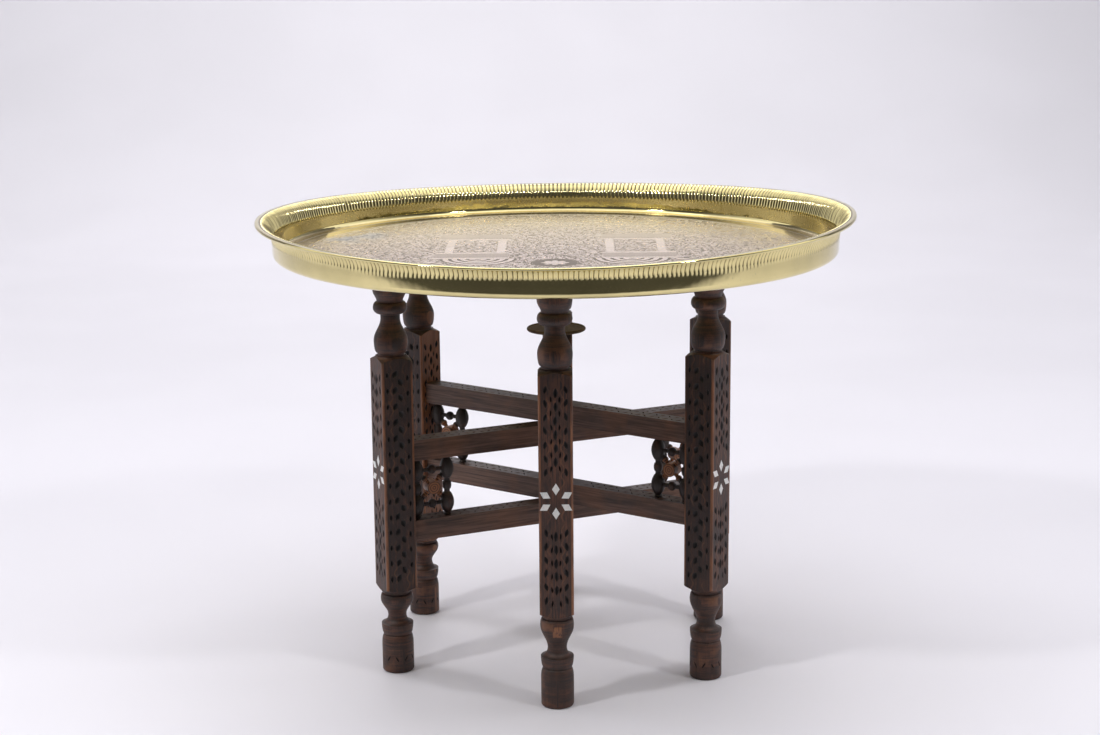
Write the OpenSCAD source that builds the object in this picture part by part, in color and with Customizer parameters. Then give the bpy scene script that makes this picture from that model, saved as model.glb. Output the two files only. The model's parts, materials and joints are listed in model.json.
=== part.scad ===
// Round brass tray resting on a folding stand of three crossed wooden frames.
// Each frame joins two opposite legs with an upper and a lower rail, and the frames
// turn about one upright rod. Origin: middle of the stand, on the floor. +Z is up and
// the front leg stands on -Y. Sizes are in millimetres.

/* [Tray] */
// Radius of the tray to the outside of its rim
tray_r = 350; // [300:5:420]
// Depth of the tray from the top of its rim to its underside
tray_depth = 37; // [30:1:60]
// Thickness of the brass sheet
sheet_t = 1.4; // [1:0.1:2]
// Width of the flat part of the rim
rim_flat_w = 4.5; // [3:0.5:10]
// Radius of the flare between the wall and the rim
flare_r = 12; // [6:1:14]
// How far the wall leans outwards between its foot and the flare
wall_lean = 1.5; // [0:0.5:8]
// Outside radius of the bend between the floor and the wall
corner_r = 12; // [6:1:14]
// Radius of the rolled edge of the rim
rolled_edge_r = 1.5; // [1.2:0.1:2.5]

/* [Legs] */
// Distance from the middle of the stand to the middle of each leg
leg_circle_r = 210; // [180:5:260]
// Width of the square part of a leg
leg_w = 38; // [32:1:46]
// Length of the square part of a leg
leg_square_h = 281; // [260:1:340]
// How much lower the square of the front left leg sits on its foot
front_left_drop = 8; // [0:1:12]
// How much lower the square of the back left leg sits on its foot
back_left_drop = 10; // [0:1:12]
// How much shorter the square of the back left leg is
back_left_cut = 8; // [0:1:12]
// How much shorter the square of the back leg is
back_cut = 15; // [0:1:18]
// Direction of the low frame, turned from +X, as the stand is opened
low_frame_angle = 26; // [22:1:34]
// Direction of the middle frame, turned from +X, as the stand is opened
mid_frame_angle = 145; // [140:1:158]
// Chamfer on the long edges of the square part
leg_chamfer = 1.2; // [0.4:0.2:3]
// Height of the rounded shoulders at both ends of the square part
shoulder_h = 7; // [4:0.5:10]
// Gap between the top of the legs and the tray, which rests on them
rest_gap = 0.3; // [0.1:0.1:0.5]

/* [Turned foot] */
// Radius of the drum that stands on the floor
foot_drum_r = 18.5; // [15:0.5:22]
// Height of the drum's straight side
foot_drum_h = 33; // [25:1:40]
// Height of the drum's rounded shoulder
foot_shoulder_h = 12; // [6:1:16]
// Radius of the groove above the drum
foot_groove_in_r = 15.5; // [12:0.5:17]
// Radius of the saucer above the drum
foot_ring_r = 18.5; // [15:0.5:22]
// Height of the saucer up to its sharp edge
foot_ring_h = 12.5; // [8:0.5:18]
// Radius of the narrow neck
foot_neck_r = 10.7; // [9:0.1:14]
// Height of the hollow between the saucer and the bulb
foot_neck_h = 11; // [6:0.5:14]
// Radius of the bulb below the square part
foot_bulb_r = 19; // [15:0.5:22]
// Height of the bulb
foot_bulb_h = 34; // [28:1:44]
// Height of the groove between a turned part and the square part
groove_h = 3.5; // [2:0.5:8]
// Radius at the bottom of that groove
groove_r = 15.5; // [12:0.5:18]

/* [Turned head] */
// Radius of the vase above the square part
vase_r = 19.5; // [15:0.5:22]
// Radius of the vase at its foot
vase_foot_r = 16.5; // [14:0.5:18]
// Height of the widest part of the vase above its foot
vase_wide_h = 14; // [8:1:18]
// Height of the vase and its neck
vase_h = 45; // [36:1:54]
// Radius of the neck on top of the vase
vase_neck_r = 11.2; // [9:0.1:14]
// Height of the neck
neck_h = 6; // [3:1:9]
// Radius of the ring above the neck
head_ring_r = 19.5; // [15:0.5:22]
// Height of the ring
head_ring_h = 14; // [10:1:20]
// Radius of the waist between the ring and the cup
waist_r = 15; // [12:0.5:18]
// Radius of the cup that carries the tray
cup_r = 19.5; // [15:0.5:22]
// Height over which the cup opens out
cup_flare_h = 13; // [10:1:20]
// Height of the straight lip of the cup
cup_lip_h = 21.5; // [10:0.5:24]

/* [Rails] */
// Height of a rail
rail_h = 24.5; // [20:0.5:30]
// Thickness of a rail
rail_w = 24; // [20:1:30]
// Gap between rails that cross, one above the other
rail_gap = 0.5; // [0.3:0.1:1]
// Height of the lowest rail above the lower end of the squares
lowest_rail_up = 51; // [34:1:64]
// Height from a frame's lower rail to its upper rail
rail_rise = 96; // [90:1:120]
// Width of the tenons on the ends of the rails
tenon_w = 12; // [8:1:14]
// Length of the tenons
tenon_l = 20; // [12:1:26]
// Shoulder above and below a tenon
tenon_shoulder = 3.5; // [2:0.5:6]

/* [Turned lattice] */
// Radius of the egg shapes on the spindles
egg_r = 8.2; // [6:0.2:9]
// Gap above and below each egg shape
egg_gap = 2.7; // [1:0.1:4]
// Radius of the small balls
ball_r = 5.3; // [4:0.1:6]
// Radius of the necks between eggs and balls
lattice_neck_r = 3.4; // [2.5:0.1:4]
// Radius of the pins that hold the spindles in the rails
spindle_pin_r = 3; // [2:0.5:3]
// Length of those pins
spindle_pin_l = 6; // [4:1:8]
// Distance between the two spindles of a lattice
spindle_pitch = 38; // [32:1:46]
// Gap between the outer spindle and the face of the leg
spindle_leg_gap = 0.8; // [0.4:0.2:4]
// Radius of the hub in the middle of a lattice
hub_r = 8; // [6:0.5:9]
// Thickness of the hub
hub_t = 15; // [10:1:18]
// Radius of the thin bars that join hub, balls and eggs
link_r = 2.4; // [2:0.1:3]
// Radius of the bead on each slanting bar
bead_r = 3.9; // [3:0.1:4.5]

/* [Inlay] */
// Height of the middle of the star above the lower end of the squares
star_up = 136; // [94:1:194]
// Length of each petal of the star
petal_l = 13.5; // [9:0.5:15]
// Width of each petal
petal_w = 8.4; // [5:0.2:10]
// Distance from the middle of the star to the inner end of a petal
petal_start = 7; // [5:0.5:9]
// Thickness of the mother-of-pearl
pearl_t = 1.6; // [1:0.1:3]

/* [Pivot] */
// Radius of the upright rod that all the frames turn on
rod_r = 4; // [3:0.5:6]
// Radial clearance of the rod in the frames that turn
rod_clearance = 0.05; // [0.02:0.01:0.1]
// Radius of the washer under the lowest rail
washer_r = 12; // [9:0.5:15]
// Thickness of the washer
washer_t = 2; // [1:0.5:4]
// Height of the nut
nut_h = 6.5; // [5:0.5:10]
// Radius of the nut across its corners
nut_r = 8; // [7.5:0.5:12]
// Height of the turned finial up to its cap
finial_h = 61; // [50:1:75]
// Radius of the finial's foot
finial_foot_r = 14; // [11:0.5:17]
// Radius of the finial's neck
finial_neck_r = 6.5; // [6:0.5:10]
// Depth of the rod in the finial
rod_in_finial = 18; // [12:1:26]
// Radius of the brass cap on the finial
cap_r = 35; // [20:1:45]
// Thickness of the cap's edge
cap_t = 4; // [3:0.5:6]
// Height of the knob in the middle of the cap
cap_knob_h = 7; // [5:1:12]

/* [Hidden] */

// Where each leg stands, turned from +X
at_front = 270;
at_back = 90;
at_front_left = 180 + low_frame_angle;
at_back_right = low_frame_angle;
at_back_left = mid_frame_angle;
at_front_right = 180 + mid_frame_angle;

// The three frames lie one rail above the other: 0 is the lowest
low = 0;
mid = 1;
high = 2;

arc_steps = 8;
tray_fn = 180;
round_fn = 96;
small_fn = 48;
edge_fn = 24;

// How far a cutting solid runs past the face that it cuts
cut_past = 1;

// Shapes of the turned parts of a leg
drum_edge_r = 3;
saucer_edge_h = 1;
bulb_top_in = 2;
ring_foot_out = 2;
shoulder_in = 1;
bulb_wide_part = 0.75;
lip_edge_r = 2;

// Heights on a leg, from the floor up
foot_shoulder_z = foot_drum_h;
foot_ring_z = foot_shoulder_z + foot_shoulder_h;
foot_saucer_z = foot_ring_z + foot_ring_h;
foot_bulb_z = foot_saucer_z + foot_neck_h;
square_z = foot_bulb_z + foot_bulb_h + groove_h;
square_top_z = square_z + leg_square_h;
head_h = groove_h + vase_h + head_ring_h + cup_flare_h + cup_lip_h;
leg_h = square_top_z + head_h;
tray_z = leg_h + rest_gap;

// Rails and lattices
lowest_rail_z = square_z + lowest_rail_up;
star_z = square_z + star_up;
rail_step = rail_h + rail_gap;
rail_half_l = leg_circle_r - leg_w / 2;
lattice_h = rail_rise - rail_h;
outer_spindle_x = rail_half_l - spindle_leg_gap - egg_r;
inner_spindle_x = outer_spindle_x - spindle_pitch;
egg_h = lattice_h / 2 - ball_r - 2 * egg_gap;
egg_mid_z = egg_gap + egg_h / 2;
spindle_end_r = lattice_neck_r + 1;
link_mid_x = (outer_spindle_x + inner_spindle_x) / 2;
bar_end = spindle_pitch / 2;
slant_rise = lattice_h / 2 - egg_mid_z;
slant_l = norm([bar_end, slant_rise]);
slant_angle = atan2(slant_rise, bar_end);
bead_at = (hub_r + slant_l - egg_r) / 2;

// Pivot
stack_bottom_z = lowest_rail_z;
stack_top_z = lowest_rail_z + rail_rise + high * rail_step + rail_h;
washer_gap = rail_gap;
washer_z = stack_bottom_z - washer_gap - washer_t;
nut_z = washer_z - nut_h;
rod_tail = 3;
rod_z = nut_z - rod_tail;
rod_top_z = stack_top_z + rod_in_finial;
cap_z = stack_top_z + finial_h;
cap_spigot_r = finial_neck_r - 2;
cap_spigot_l = 8;
cap_dish = 1;
cap_knob_r = cap_knob_h + 3;

// Heights on the finial above the highest rail
finial_base_h = 4;
finial_ring_z = 16;
finial_ring_h = 22;
finial_waist_r = finial_neck_r + 2;
finial_flare_h = 8;

// Points of an arc about [cx, cz], both ends included
function arc(cx, cz, r, from, to) =
    [for (i = [0:arc_steps]) let (a = from + (to - from) * i / arc_steps)
        [cx + r * cos(a), cz + r * sin(a)]];

// Points of a smooth change of radius from r0 at z0 to r1 at z1
function ease(r0, z0, r1, z1) =
    [for (i = [0:arc_steps]) let (t = i / arc_steps)
        [r0 + (r1 - r0) * (1 - cos(180 * t)) / 2, z0 + (z1 - z0) * t]];

// Points of a quarter round from z0 to z1 between r_in and r_out: it widens upwards
// with way -1 and narrows upwards with way 1
function swell(r_in, r_out, z0, z1, way) =
    [for (i = [0:arc_steps]) let (a = 90 * i / arc_steps)
        [r_in + (r_out - r_in) * (way < 0 ? sin(a) : cos(a)),
         z0 + (z1 - z0) * (way < 0 ? 1 - cos(a) : sin(a))]];

// Points of a hollow that falls from r_out at z0 to r_in at z1
function hollow(r_in, r_out, z0, z1) =
    [for (i = [0:arc_steps]) let (a = 90 * i / arc_steps)
        [r_in + (r_out - r_in) * (1 - sin(a)), z0 + (z1 - z0) * (1 - cos(a))]];

// Points of a rounded ring that starts and ends at radius r_in and is r_out wide
function ring(r_in, r_out, z, h) =
    [for (i = [0:2 * arc_steps]) let (a = 90 * i / arc_steps)
        [r_in + (r_out - r_in) * sin(a), z + h * (1 - cos(a)) / 2]];

// Points of an egg that is pointed to radius r_in at both ends
function egg(r_in, r_out, z, h) =
    [for (i = [0:2 * arc_steps]) let (t = i / (2 * arc_steps))
        [r_in + (r_out - r_in) * pow(sin(180 * t), 0.75), z + h * t]];

function tray_outside() =
    let (base_r = tray_r - rim_flat_w - flare_r - wall_lean - corner_r,
         wall_top_r = tray_r - rim_flat_w - flare_r,
         flare_z = tray_depth - sheet_t - flare_r)
    concat([[0, 0]],
           arc(base_r, corner_r, corner_r, -90, 0),
           arc(wall_top_r + flare_r, flare_z, flare_r, 180, 90),
           [[tray_r - rolled_edge_r, tray_depth - sheet_t]]);

function tray_inside() =
    let (base_r = tray_r - rim_flat_w - flare_r - wall_lean - corner_r,
         wall_top_r = tray_r - rim_flat_w - flare_r,
         flare_z = tray_depth - sheet_t - flare_r)
    concat([[tray_r - rolled_edge_r, tray_depth]],
           arc(wall_top_r + flare_r, flare_z, flare_r + sheet_t, 90, 180),
           arc(base_r, corner_r, corner_r - sheet_t, 0, -90),
           [[0, sheet_t]]);

module turned(points, fn = round_fn) {
    first = points[0];
    last = points[len(points) - 1];
    rotate_extrude($fn = fn)
        polygon(concat([[0, first[1]]], points, [[0, last[1]]]));
}

module tray() {
    color("goldenrod") translate([0, 0, tray_z]) {
        rotate_extrude($fn = tray_fn) polygon(concat(tray_outside(), tray_inside()));
        rotate_extrude($fn = tray_fn)
            translate([tray_r - rolled_edge_r, tray_depth - rolled_edge_r])
                circle(r = rolled_edge_r, $fn = edge_fn);
    }
}

// The turned foot; its bulb is lower by drop
module foot(drop) {
    bulb_h = foot_bulb_h - drop;
    bulb_wide_z = foot_bulb_z + bulb_wide_part * bulb_h;
    turned(concat(
        arc(foot_drum_r - drum_edge_r, drum_edge_r, drum_edge_r, -90, 0),
        swell(foot_groove_in_r, foot_drum_r, foot_shoulder_z, foot_ring_z, 1),
        swell(foot_groove_in_r, foot_ring_r, foot_ring_z, foot_saucer_z, -1),
        hollow(foot_neck_r, foot_ring_r, foot_saucer_z + saucer_edge_h, foot_bulb_z),
        ease(foot_neck_r, foot_bulb_z, foot_bulb_r, bulb_wide_z),
        swell(foot_bulb_r - bulb_top_in, foot_bulb_r, bulb_wide_z, foot_bulb_z + bulb_h, 1),
        [[groove_r, foot_bulb_z + bulb_h], [groove_r, square_z - drop + shoulder_h]]));
}

// The turned head above a square that ends at from_z; its lip makes up the height
module head(from_z, lip_h) {
    vase_z = from_z + groove_h;
    ring_z = vase_z + vase_h;
    waist_z = ring_z + head_ring_h;
    lip_z = waist_z + cup_flare_h;
    turned(concat(
        [[groove_r, from_z - shoulder_h], [groove_r, vase_z]],
        swell(vase_foot_r, vase_r, vase_z, vase_z + vase_wide_h, -1),
        ease(vase_r, vase_z + vase_wide_h, vase_neck_r, ring_z - neck_h),
        [[vase_neck_r, ring_z]],
        swell(vase_neck_r + ring_foot_out, head_ring_r, ring_z, ring_z + head_ring_h / 2, -1),
        swell(waist_r, head_ring_r, ring_z + head_ring_h / 2, waist_z, 1),
        ease(waist_r, waist_z, cup_r, lip_z),
        [[cup_r, lip_z + lip_h - lip_edge_r]],
        arc(cup_r - lip_edge_r, lip_z + lip_h - lip_edge_r, lip_edge_r, 0, 90)));
}

// The square part, with rounded shoulders at both ends
module square_part(h) {
    half = leg_w / 2;
    corner = half * sqrt(2);
    c = half - leg_chamfer;
    intersection() {
        linear_extrude(height = h)
            polygon([[half, c], [c, half], [-c, half], [-half, c],
                     [-half, -c], [-c, -half], [c, -half], [half, -c]]);
        turned(concat(
            ease(half - shoulder_in, 0, corner, shoulder_h),
            ease(corner, h - shoulder_h, half - shoulder_in, h)));
    }
}

module mortise(z) {
    translate([-leg_w / 2 - cut_past, -tenon_w / 2, z + tenon_shoulder])
        cube([tenon_l + cut_past, tenon_w, rail_h - 2 * tenon_shoulder]);
}

// One petal of the star, lying along +Y from the middle
module petal() {
    mid_y = petal_start + petal_l / 2;
    polygon([[0, petal_start], [petal_w / 2, mid_y],
             [0, petal_start + petal_l], [-petal_w / 2, mid_y]]);
}

module star_solids(t) {
    translate([leg_circle_r + leg_w / 2 - pearl_t, 0, star_z])
        rotate([90, 0, 90])
            for (i = [0:5]) rotate(i * 60) linear_extrude(height = t) petal();
}

// A leg; its square sits lower by drop and is shorter by cut
module leg(at, level, drop = 0, cut = 0) {
    color("saddlebrown") rotate(at) difference() {
        translate([leg_circle_r, 0, 0]) difference() {
            union() {
                foot(drop);
                translate([0, 0, square_z - drop]) square_part(leg_square_h - cut);
                head(square_top_z - drop - cut, cup_lip_h + drop + cut);
            }
            mortise(rail_z(level));
            mortise(rail_z(level) + rail_rise);
        }
        star_solids(pearl_t + cut_past);
    }
}

module star(at) {
    color("ivory") rotate(at) star_solids(pearl_t);
}

function rail_z(level) = lowest_rail_z + level * rail_step;

// A rail along X with its underside at z; the spindle sockets start at socket_z
module rail(z, hole_r, socket_z) {
    color("peru") difference() {
        union() {
            translate([-rail_half_l, -rail_w / 2, z]) cube([2 * rail_half_l, rail_w, rail_h]);
            translate([-rail_half_l - tenon_l, -tenon_w / 2, z + tenon_shoulder])
                cube([2 * (rail_half_l + tenon_l), tenon_w, rail_h - 2 * tenon_shoulder]);
        }
        translate([0, 0, z - cut_past])
            cylinder(r = hole_r, h = rail_h + 2 * cut_past, $fn = small_fn);
        for (side = [-1, 1], x = [outer_spindle_x, inner_spindle_x])
            translate([side * x, 0, socket_z])
                cylinder(r = spindle_pin_r, h = spindle_pin_l + cut_past, $fn = small_fn);
    }
}

module upper_rail(at, level) {
    z = rail_z(level) + rail_rise;
    rotate(at) rail(z, level == high ? rod_r : rod_r + rod_clearance, z - cut_past);
}

module lower_rail(at, level) {
    z = rail_z(level);
    rotate(at)
        rail(z, level == high ? rod_r : rod_r + rod_clearance, z + rail_h - spindle_pin_l);
}

// A spindle between the rails, from height 0 to lattice_h, with a pin at each end
module spindle_shape() {
    turned(concat(
        [[spindle_pin_r, -spindle_pin_l], [spindle_pin_r, 0], [spindle_end_r, 0]],
        [[spindle_end_r, egg_gap / 2]],
        egg(lattice_neck_r, egg_r, egg_gap, egg_h),
        ring(lattice_neck_r, ball_r, lattice_h / 2 - ball_r, 2 * ball_r),
        egg(lattice_neck_r, egg_r, lattice_h - egg_gap - egg_h, egg_h),
        [[spindle_end_r, lattice_h - egg_gap / 2], [spindle_end_r, lattice_h]],
        [[spindle_pin_r, lattice_h], [spindle_pin_r, lattice_h + spindle_pin_l]]), small_fn);
}

module spindle(at, level, x) {
    color("sienna") rotate(at)
        translate([x, 0, rail_z(level) + rail_h]) spindle_shape();
}

module bar(l) {
    rotate([0, 90, 0]) cylinder(r = link_r, h = l, $fn = small_fn);
}

// Two level bars with balls, and a hub with four slanting bars with beads
module link_shape() {
    for (z = [egg_mid_z, lattice_h - egg_mid_z]) translate([0, 0, z]) {
        translate([-bar_end, 0, 0]) bar(2 * bar_end);
        sphere(r = ball_r, $fn = small_fn);
    }
    translate([0, 0, lattice_h / 2]) {
        rotate([90, 0, 0]) cylinder(r = hub_r, h = hub_t, center = true, $fn = small_fn);
        for (a = [slant_angle, 180 - slant_angle, 180 + slant_angle, -slant_angle])
            rotate([0, a, 0]) {
                bar(slant_l - link_r / 2);
                translate([bead_at, 0, 0]) sphere(r = bead_r, $fn = small_fn);
            }
    }
}

module lattice_link(at, level) {
    color("tan") rotate(at) translate([link_mid_x, 0, rail_z(level) + rail_h])
        difference() {
            link_shape();
            for (side = [-1, 1]) translate([side * bar_end, 0, 0]) spindle_shape();
        }
}

module pivot_rod() {
    color("dimgray") translate([0, 0, rod_z])
        cylinder(r = rod_r, h = rod_top_z - rod_z, $fn = small_fn);
}

module pivot_washer() {
    color("dimgray") translate([0, 0, washer_z]) difference() {
        cylinder(r = washer_r, h = washer_t, $fn = round_fn);
        translate([0, 0, -cut_past])
            cylinder(r = rod_r, h = washer_t + 2 * cut_past, $fn = small_fn);
    }
}

module pivot_nut() {
    color("dimgray") translate([0, 0, nut_z]) difference() {
        cylinder(r = nut_r, h = nut_h, $fn = 6);
        translate([0, 0, -cut_past])
            cylinder(r = rod_r, h = nut_h + 2 * cut_past, $fn = small_fn);
    }
}

module pivot_finial() {
    ring_top_z = finial_ring_z + finial_ring_h;
    flare_z = finial_h - finial_flare_h;
    color("sienna") translate([0, 0, stack_top_z]) difference() {
        turned(concat(
            [[finial_foot_r, 0]],
            ease(finial_foot_r, finial_base_h, finial_waist_r, finial_ring_z),
            ring(finial_waist_r, finial_foot_r, finial_ring_z, finial_ring_h),
            ease(finial_waist_r, ring_top_z, finial_neck_r, flare_z),
            ease(finial_neck_r, flare_z, finial_foot_r, finial_h)));
        translate([0, 0, -cut_past])
            cylinder(r = rod_r, h = rod_in_finial + cut_past, $fn = small_fn);
        translate([0, 0, finial_h - cap_spigot_l])
            cylinder(r = cap_spigot_r, h = cap_spigot_l + cut_past, $fn = small_fn);
    }
}

module pivot_cap() {
    color("goldenrod") translate([0, 0, cap_z])
        turned(concat(
            [[cap_spigot_r, -cap_spigot_l], [cap_spigot_r, 0]],
            arc(cap_r - cap_t / 2, cap_t / 2, cap_t / 2, -90, 90),
            [[cap_r - cap_t, cap_t - cap_dish], [cap_knob_r, cap_t - cap_dish]],
            arc(0, cap_t - cap_dish, cap_knob_h, 0, 90)));
}

tray();

leg(at_front, high);  // leg_front
leg(at_back, high, 0, back_cut);  // leg_back
leg(at_front_left, low, front_left_drop);  // leg_front_left
leg(at_back_right, low);  // leg_back_right
leg(at_back_left, mid, back_left_drop, back_left_cut);  // leg_back_left
leg(at_front_right, mid);  // leg_front_right

star(at_front);  // star_front
star(at_back);  // star_back
star(at_front_left);  // star_front_left
star(at_back_right);  // star_back_right
star(at_back_left);  // star_back_left
star(at_front_right);  // star_front_right

upper_rail(at_back, high);  // upper_rail_high
upper_rail(at_back_left, mid);  // upper_rail_mid
upper_rail(at_back_right, low);  // upper_rail_low
lower_rail(at_back, high);  // lower_rail_high
lower_rail(at_back_left, mid);  // lower_rail_mid
lower_rail(at_back_right, low);  // lower_rail_low

spindle(at_front, high, outer_spindle_x);  // outer_spindle_front
spindle(at_back, high, outer_spindle_x);  // outer_spindle_back
spindle(at_front_left, low, outer_spindle_x);  // outer_spindle_front_left
spindle(at_back_right, low, outer_spindle_x);  // outer_spindle_back_right
spindle(at_back_left, mid, outer_spindle_x);  // outer_spindle_back_left
spindle(at_front_right, mid, outer_spindle_x);  // outer_spindle_front_right

spindle(at_front, high, inner_spindle_x);  // inner_spindle_front
spindle(at_back, high, inner_spindle_x);  // inner_spindle_back
spindle(at_front_left, low, inner_spindle_x);  // inner_spindle_front_left
spindle(at_back_right, low, inner_spindle_x);  // inner_spindle_back_right
spindle(at_back_left, mid, inner_spindle_x);  // inner_spindle_back_left
spindle(at_front_right, mid, inner_spindle_x);  // inner_spindle_front_right

lattice_link(at_front, high);  // lattice_link_front
lattice_link(at_back, high);  // lattice_link_back
lattice_link(at_front_left, low);  // lattice_link_front_left
lattice_link(at_back_right, low);  // lattice_link_back_right
lattice_link(at_back_left, mid);  // lattice_link_back_left
lattice_link(at_front_right, mid);  // lattice_link_front_right

pivot_rod();
pivot_washer();
pivot_nut();
pivot_finial();
pivot_cap();
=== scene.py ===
"""Round brass tray on a carved folding stand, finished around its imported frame."""

import json
import math

import bmesh
import bpy
import numpy as np
from mathutils import Matrix, Vector


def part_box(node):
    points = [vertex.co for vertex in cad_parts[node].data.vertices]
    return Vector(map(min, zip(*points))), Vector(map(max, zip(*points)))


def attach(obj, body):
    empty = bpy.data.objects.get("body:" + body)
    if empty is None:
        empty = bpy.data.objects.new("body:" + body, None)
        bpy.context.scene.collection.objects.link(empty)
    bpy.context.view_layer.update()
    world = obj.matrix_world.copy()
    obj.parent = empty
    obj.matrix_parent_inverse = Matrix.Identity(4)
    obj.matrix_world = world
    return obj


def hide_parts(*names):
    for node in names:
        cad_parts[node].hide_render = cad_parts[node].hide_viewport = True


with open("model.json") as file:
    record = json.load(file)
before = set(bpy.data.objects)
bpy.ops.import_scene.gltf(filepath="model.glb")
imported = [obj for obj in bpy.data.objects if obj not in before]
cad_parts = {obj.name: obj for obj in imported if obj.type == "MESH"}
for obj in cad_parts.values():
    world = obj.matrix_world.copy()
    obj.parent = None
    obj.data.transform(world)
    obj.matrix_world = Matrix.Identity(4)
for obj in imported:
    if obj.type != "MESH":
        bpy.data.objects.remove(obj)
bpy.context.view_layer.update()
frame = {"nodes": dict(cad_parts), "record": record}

bl_info = {
    "name": "Brass tray on a folding stand",
    "version": (1, 0, 0),
    "blender": (4, 5, 0),
    "location": "3D View > Sidebar > Tray",
    "description": "Makes the fluted tray, the carved stand and their finishes",
    "category": "Object",
}

MM = 0.001
FULL_TURN = 2 * math.pi
MERGE_GAP, CAD_MERGE_GAP, EMPTY_EDGE = 1e-6, 2e-6, 1e-7  # metres

LEGS = ("front", "back", "front_left", "back_right", "back_left", "front_right")
LEVELS = ("high", "mid", "low")
SIDES = {"high": ("front", "back"), "mid": ("back_left", "front_right"),
         "low": ("front_left", "back_right")}
BACK_LEG = {"high": "back", "mid": "back_left", "low": "back_right"}
BODY_OF = {
    node: body
    for body, nodes in frame["record"]["behaviour"]["bodies"].items()
    for node in nodes
}


# ---------------- settings


def length(name, description, default, low=0.0, high=1.0):
    """A length in metres that the user can change."""
    return bpy.props.FloatProperty(
        name=name, description=description, default=default, min=low, max=high,
        precision=4, subtype="DISTANCE", unit="LENGTH",
    )


def share(name, description, default, low=0.0, high=1.0):
    """A plain number that the user can change."""
    return bpy.props.FloatProperty(
        name=name, description=description, default=default, min=low, max=high,
        subtype="FACTOR",
    )


def angle(name, description, degrees):
    """An angle that the user can change."""
    return bpy.props.FloatProperty(
        name=name, description=description, default=math.radians(degrees),
        subtype="ANGLE", unit="ROTATION",
    )


def colour(name, description, default):
    """A colour that the user can change."""
    return bpy.props.FloatVectorProperty(
        name=name, description=description, default=default, min=0.0, max=1.0,
        size=3, subtype="COLOR",
    )


class TraySettings(bpy.types.PropertyGroup):
    """Sizes and colours of the brass tray"""

    sheet: length("Sheet", "Thickness of the brass sheet", 1.4 * MM)
    rim_flat: length("Flat rim", "Width of the flat part of the rim", 4.5 * MM)
    flare: length("Flare", "How far the fluted band spreads outwards", 14.5 * MM)
    lean: length("Lean", "How far the plain wall leans outwards", 0.4 * MM)
    corner: length("Corner", "Radius between floor and wall", 6.5 * MM)
    rolled_edge: length("Rolled edge", "Radius of the rolled edge", 1.5 * MM)
    flutes: bpy.props.IntProperty(
        name="Flutes", description="Number of flutes round the wall",
        default=400, min=60, max=420,
    )
    flute_depth: length("Flute depth", "Depth of the grooves between flutes", 1.2 * MM)
    flute_foot: length("Flute foot", "Height of the lower end of the flutes", 18 * MM)
    flute_wander: share("Flute wander", "How unevenly the flutes are struck", 0.16)
    rim_lift: length("Rim lift", "How far the bent rim rises on average", 3.4 * MM)
    rim_tilt: length("Rim tilt", "Extra rise of the rim on its right side", 2.25 * MM)
    rim_sag: length("Rim sag", "How far the rim dips in front and behind", 4.4 * MM)
    border: length("Border", "Width of the plain border of the floor", 34 * MM)
    brass: colour("Brass", "Colour of the polished brass", (0.77, 0.665, 0.33))
    silver: colour("Silver", "Colour of the silvery worn floor", (0.80, 0.67, 0.59))
    # also used for the line of painted shade just inside the rim
    grime_and_rim_shade: colour("Grime", "Colour of the dirt in the chasing", (0.08, 0.06, 0.035))
    tarnish: colour("Tarnish", "Colour of the blue-grey tarnish", (0.20, 0.24, 0.28))
    cap: colour("Cap", "Colour of the dull brass cap", (0.085, 0.052, 0.026))


class WoodSettings(bpy.types.PropertyGroup):
    """Sizes and colours of the carved stand"""

    pit_depth: length("Pit depth", "Depth of the carved pits", 2.2 * MM)
    pit_pitch: length("Pit pitch", "Height from one pit to the next", 15.5 * MM)
    edge_margin: length("Plain end", "Plain length at both ends of a square", 9 * MM)
    star_margin: length("Star margin", "Plain length round the star", 27 * MM)
    # also laid on as painted shade: on the side faces, incised lines, pits and notches of the
    # legs, and on the upward faces and pits of the rails
    dark: colour("Dark stain", "Colour of the stain in the grain", (0.015, 0.007, 0.005))
    stain: colour("Stain", "Colour of the stained wood", (0.108, 0.039, 0.019))
    bare: colour("Bare wood", "Colour where the stain is worn off", (0.29, 0.110, 0.040))
    dust: colour("Dust", "Colour of the grey bloom", (0.20, 0.165, 0.15))
    rail: colour("Rail", "Colour of the rails", (0.165, 0.088, 0.060))
    pearl: colour("Pearl", "Colour of the mother-of-pearl", (0.80, 0.80, 0.77))
    iron: colour("Iron", "Colour of the pivot rod", (0.12, 0.11, 0.10))


class StageSettings(bpy.types.PropertyGroup):
    """Camera, floor and lights"""

    eye: bpy.props.FloatVectorProperty(
        name="Camera", description="Place of the camera", size=3,
        default=(0.019, -2.473, 0.872), subtype="TRANSLATION", unit="LENGTH",
    )
    yaw: angle("Yaw", "Turn of the camera to the left", 0.62)
    pitch: angle("Pitch", "How far the camera looks down", 12.07)
    roll: angle("Roll", "Roll of the camera to the left", -0.49)
    focal_widths: bpy.props.FloatProperty(
        name="Focal length", description="Focal length in widths of the frame",
        default=1.9313, min=0.5, max=10,
    )
    paper: colour("Paper", "Colour of the studio paper", (0.83, 0.81, 0.86))
    # painted shade: the near-black colour laid on the floor in front, standing in for the unlit
    # room
    painted_room_shade: colour("Room", "Colour of the studio behind the camera", (0.050, 0.049, 0.047))


# ---------------- node trees


def both_ways(operation):
    """An operator on two values, and its reflected form."""

    def straight(self, other):
        return self.math(operation, self, other)

    def reflected(self, other):
        return self.math(operation, other, self)

    return straight, reflected


def alone(operation):
    """A function of one value."""
    return lambda self: self.math(operation, self)


def span(x, y):
    """Length of the line whose two parts are x and y."""
    return (x * x + y * y) ** 0.5


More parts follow.
